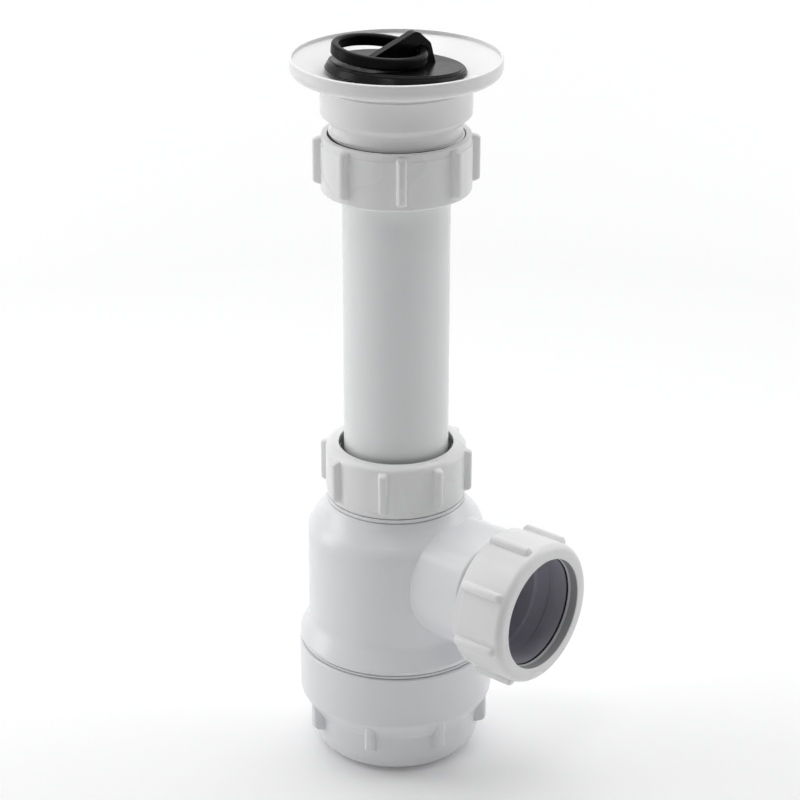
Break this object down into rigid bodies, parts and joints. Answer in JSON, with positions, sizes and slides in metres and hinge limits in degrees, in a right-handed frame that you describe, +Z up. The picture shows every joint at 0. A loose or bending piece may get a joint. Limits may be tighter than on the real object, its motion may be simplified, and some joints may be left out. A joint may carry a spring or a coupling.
{
  "type": "basin trap",
  "caption": "Bottle trap for a wash basin: flanged waste with rubber plug and pull ring, dip tube, coupling nuts, bottle body with side outlet and screw-off cup.",
  "frame": {"origin": "middle of the cup's flat base, on the trap's vertical axis", "axes": "+Z up along the dip tube, +X out along the outlet, +Y to the left of the outlet"},
  "size_m": [0.1008, 0.07, 0.2634],
  "materials": {
    "white_plastic": "glossy moulded polypropylene",
    "washer_plastic": "satin washer plastic",
    "black_rubber": "smooth moulded rubber",
    "screw_steel": "plain stainless steel",
    "nut_brass": "turned brass"
  },
  "bodies": {
    "bottle": {"bottle_body": "white_plastic", "outlet_seal": "black_rubber"},
    "outlet_ring": {"outlet_slip_ring": "washer_plastic"},
    "outlet_coupling": {"outlet_nut": "white_plastic"},
    "cup_washer": {"cup_seal": "black_rubber"},
    "cup": {"bottle_cup": "white_plastic"},
    "neck_ring": {"neck_slip_ring": "washer_plastic"},
    "neck_coupling": {"neck_nut": "white_plastic"},
    "neck_swivel": {"neck_seal": "black_rubber"},
    "tube": {"dip_tube": "white_plastic", "tail_washer": "black_rubber"},
    "tail_coupling": {"tail_nut": "white_plastic"},
    "waste": {"waste_body": "white_plastic", "body_gasket": "washer_plastic", "flange_gasket": "washer_plastic", "waste_flange": "white_plastic", "clamp_screw": "screw_steel", "captive_nut": "nut_brass", "plug": "black_rubber"},
    "pull_ring": {"plug_ring": "black_rubber"}
  },
  "joints": [
    {"name": "outlet_nut_travel", "type": "slide", "parent": "bottle", "child": "outlet_ring", "axis": [1, 0, 0], "range_m": [0, 0.012]},
    {"name": "outlet_nut_turn", "type": "hinge", "parent": "outlet_ring", "child": "outlet_coupling", "pos_m": [0.0565, 0, 0.0726], "axis": [1, 0, 0], "range_deg": [0, 1440]},
    {"name": "cup_travel", "type": "slide", "parent": "bottle", "child": "cup_washer", "axis": [0, 0, -1], "range_m": [0, 0.012]},
    {"name": "cup_turn", "type": "hinge", "parent": "cup_washer", "child": "cup", "pos_m": [0, 0, 0.03], "axis": [0, 0, -1], "range_deg": [0, 1080]},
    {"name": "neck_nut_travel", "type": "slide", "parent": "bottle", "child": "neck_ring", "axis": [0, 0, 1], "range_m": [0, 0.012]},
    {"name": "neck_nut_turn", "type": "hinge", "parent": "neck_ring", "child": "neck_coupling", "pos_m": [0, 0, 0.108], "axis": [0, 0, 1], "range_deg": [0, 1440]},
    {"name": "tube_swivel", "type": "hinge", "parent": "bottle", "child": "neck_swivel", "pos_m": [0, 0, 0.112], "axis": [0, 0, 1], "continuous": true},
    {"name": "tube_height", "type": "slide", "parent": "neck_swivel", "child": "tube", "axis": [0, 0, 1], "range_m": [-0.01, 0.03]},
    {"name": "tail_nut_turn", "type": "hinge", "parent": "tube", "child": "tail_coupling", "pos_m": [0, 0, 0.22], "axis": [0, 0, -1], "range_deg": [0, 1440]},
    {"name": "waste_lift", "type": "slide", "parent": "tube", "child": "waste", "axis": [0, 0, 1], "range_m": [0, 0.012]},
    {"name": "ring_swing", "type": "hinge", "parent": "waste", "child": "pull_ring", "pos_m": [0.00338, 0.00755, 0.25644], "axis": [-0.9063, 0.4207, -0.0405], "range_deg": [-1, 168]}
  ],
  "couplings": [
    {"joint": "outlet_nut_travel", "follows": "outlet_nut_turn", "m_per_rad": 0.00047746},
    {"joint": "cup_travel", "follows": "cup_turn", "m_per_rad": 0.00063662},
    {"joint": "neck_nut_travel", "follows": "neck_nut_turn", "m_per_rad": 0.00047746},
    {"joint": "waste_lift", "follows": "tail_nut_turn", "m_per_rad": 0.00047746}
  ]
}
